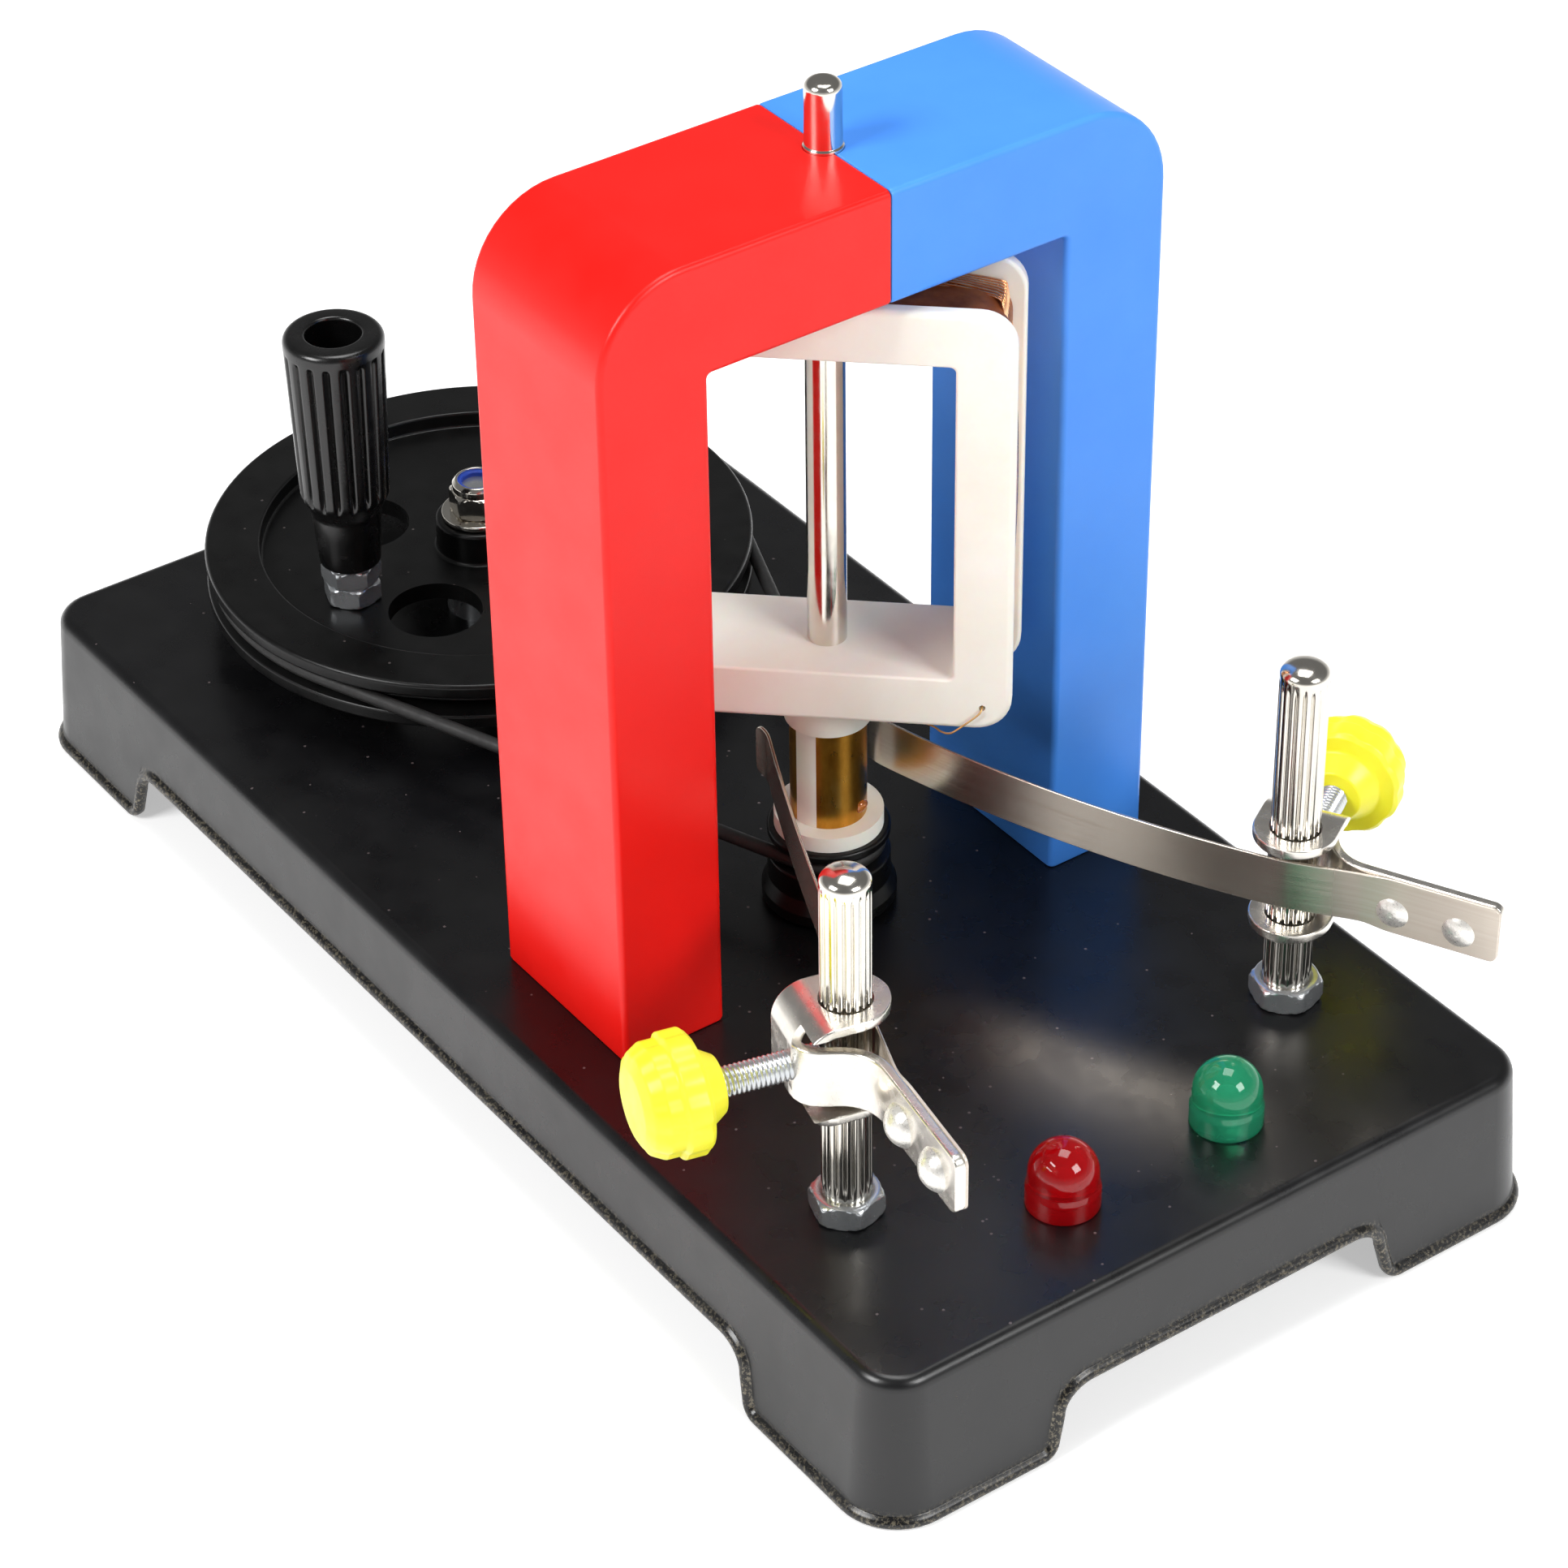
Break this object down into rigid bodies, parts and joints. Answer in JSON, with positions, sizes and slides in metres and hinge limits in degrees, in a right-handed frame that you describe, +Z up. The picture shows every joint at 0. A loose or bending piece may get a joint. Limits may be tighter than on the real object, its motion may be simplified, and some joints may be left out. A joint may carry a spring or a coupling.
{
  "type": "demonstration electric motor",
  "caption": "Hand-cranked demonstration motor on a steel tray: U magnet, wound rotor with split-ring commutator, brass leaf brushes on posts, belt drive and lamps.",
  "frame": {"origin": "centre of the footprint of the tray's four feet, on the surface that it stands on", "axes": "+X towards the lamp end, +Y towards the blue side of the magnet, +Z up along the rotor shaft"},
  "size_m": [0.2046, 0.1209, 0.1404],
  "materials": {
    "tray_enamel": "satin black stoving enamel",
    "red_enamel": "gloss red enamel",
    "blue_enamel": "gloss blue enamel",
    "pulley_plastic": "satin black moulding",
    "grip_plastic": "satin black moulding",
    "belt_rubber": "dull black",
    "zinc_steel": "bright zinc plate",
    "ivory_plastic": "natural white moulding",
    "enamelled_copper": "enamelled copper wire",
    "commutator_brass": "turned brass",
    "nickel_plate": "bright nickel plate",
    "clamp_nickel": "bright nickel plate",
    "leaf_bronze": "tinned spring bronze",
    "yellow_plastic": "bright yellow moulding",
    "blue_nylon": "nylon",
    "red_lens": "tinted clear resin",
    "green_lens": "tinted clear resin"
  },
  "bodies": {
    "frame": {"base_tray": "tray_enamel", "magnet_red": "red_enamel", "magnet_blue": "blue_enamel", "magnet_screw_red": "zinc_steel", "magnet_screw_blue": "zinc_steel", "rotor_bearing": "ivory_plastic", "pulley_bolt": "zinc_steel", "pulley_spacer": "zinc_steel", "pulley_washer": "nickel_plate", "pulley_nut": "nickel_plate", "pulley_nut_insert": "blue_nylon", "drive_belt": "belt_rubber", "post_left": "nickel_plate", "post_right": "nickel_plate", "post_nut_left": "nickel_plate", "post_nut_right": "nickel_plate", "post_washer_left": "zinc_steel", "post_washer_right": "zinc_steel", "post_locknut_left": "zinc_steel", "post_locknut_right": "zinc_steel", "lamp_red": "red_lens", "lamp_green": "green_lens"},
    "crank_pulley": {"drive_pulley": "pulley_plastic", "handle_screw": "zinc_steel", "handle_nut_lower": "nickel_plate", "handle_nut_upper": "nickel_plate"},
    "grip": {"handle_grip": "grip_plastic"},
    "rotor": {"rotor_shaft": "nickel_plate", "coil_former": "ivory_plastic", "coil_core": "enamelled_copper", "coil_winding": "enamelled_copper", "coil_lead_a": "enamelled_copper", "coil_lead_b": "enamelled_copper", "commutator_body": "ivory_plastic", "commutator_bar_a": "commutator_brass", "commutator_bar_b": "commutator_brass", "rotor_pulley": "pulley_plastic"},
    "brush_left": {"clamp_left": "clamp_nickel", "brush_leaf_left": "leaf_bronze", "rivet_left_inner": "clamp_nickel", "rivet_left_outer": "clamp_nickel"},
    "brush_right": {"clamp_right": "clamp_nickel", "brush_leaf_right": "leaf_bronze", "rivet_right_inner": "clamp_nickel", "rivet_right_outer": "clamp_nickel"},
    "rod_left": {"thumb_rod_left": "zinc_steel"},
    "rod_right": {"thumb_rod_right": "zinc_steel"},
    "knob_left": {"thumb_knob_left": "yellow_plastic"},
    "knob_right": {"thumb_knob_right": "yellow_plastic"}
  },
  "joints": [
    {"name": "crank_pulley_spin", "type": "hinge", "parent": "frame", "child": "crank_pulley", "pos_m": [-0.0636, 0.0005, 0.0305], "axis": [0, 0, 1], "continuous": true},
    {"name": "grip_spin", "type": "hinge", "parent": "crank_pulley", "child": "grip", "pos_m": [-0.06286, -0.02069, 0.042], "axis": [0, 0, 1], "continuous": true},
    {"name": "rotor_spin", "type": "hinge", "parent": "frame", "child": "rotor", "pos_m": [0.0196, 0.0005, 0.08], "axis": [0, 0, 1], "continuous": true},
    {"name": "brush_left_swivel", "type": "hinge", "parent": "frame", "child": "brush_left", "pos_m": [0.071, -0.0343, 0.0463], "axis": [0, 0, 1], "range_deg": [-2.5, 11]},
    {"name": "brush_right_swivel", "type": "hinge", "parent": "frame", "child": "brush_right", "pos_m": [0.071, 0.0343, 0.0417], "axis": [0, 0, 1], "range_deg": [-11, 2.5]},
    {"name": "rod_left_slide", "type": "slide", "parent": "brush_left", "child": "rod_left", "axis": [-0.2419, -0.9703, 0], "range_m": [0, 0.0028]},
    {"name": "knob_left_turn", "type": "hinge", "parent": "rod_left", "child": "knob_left", "pos_m": [0.06616, -0.05371, 0.0463], "axis": [-0.2419, -0.9703, 0], "range_deg": [0, 1440]},
    {"name": "rod_right_slide", "type": "slide", "parent": "brush_right", "child": "rod_right", "axis": [-0.515, 0.8572, 0], "range_m": [0, 0.0028]},
    {"name": "knob_right_turn", "type": "hinge", "parent": "rod_right", "child": "knob_right", "pos_m": [0.0607, 0.05144, 0.0417], "axis": [-0.515, 0.8572, 0], "range_deg": [0, 1440]}
  ],
  "couplings": [
    {"joint": "rotor_spin", "follows": "crank_pulley_spin", "ratio": 5.6615},
    {"joint": "knob_left_turn", "follows": "rod_left_slide", "rad_per_m": 8976},
    {"joint": "knob_right_turn", "follows": "rod_right_slide", "rad_per_m": 8976}
  ]
}
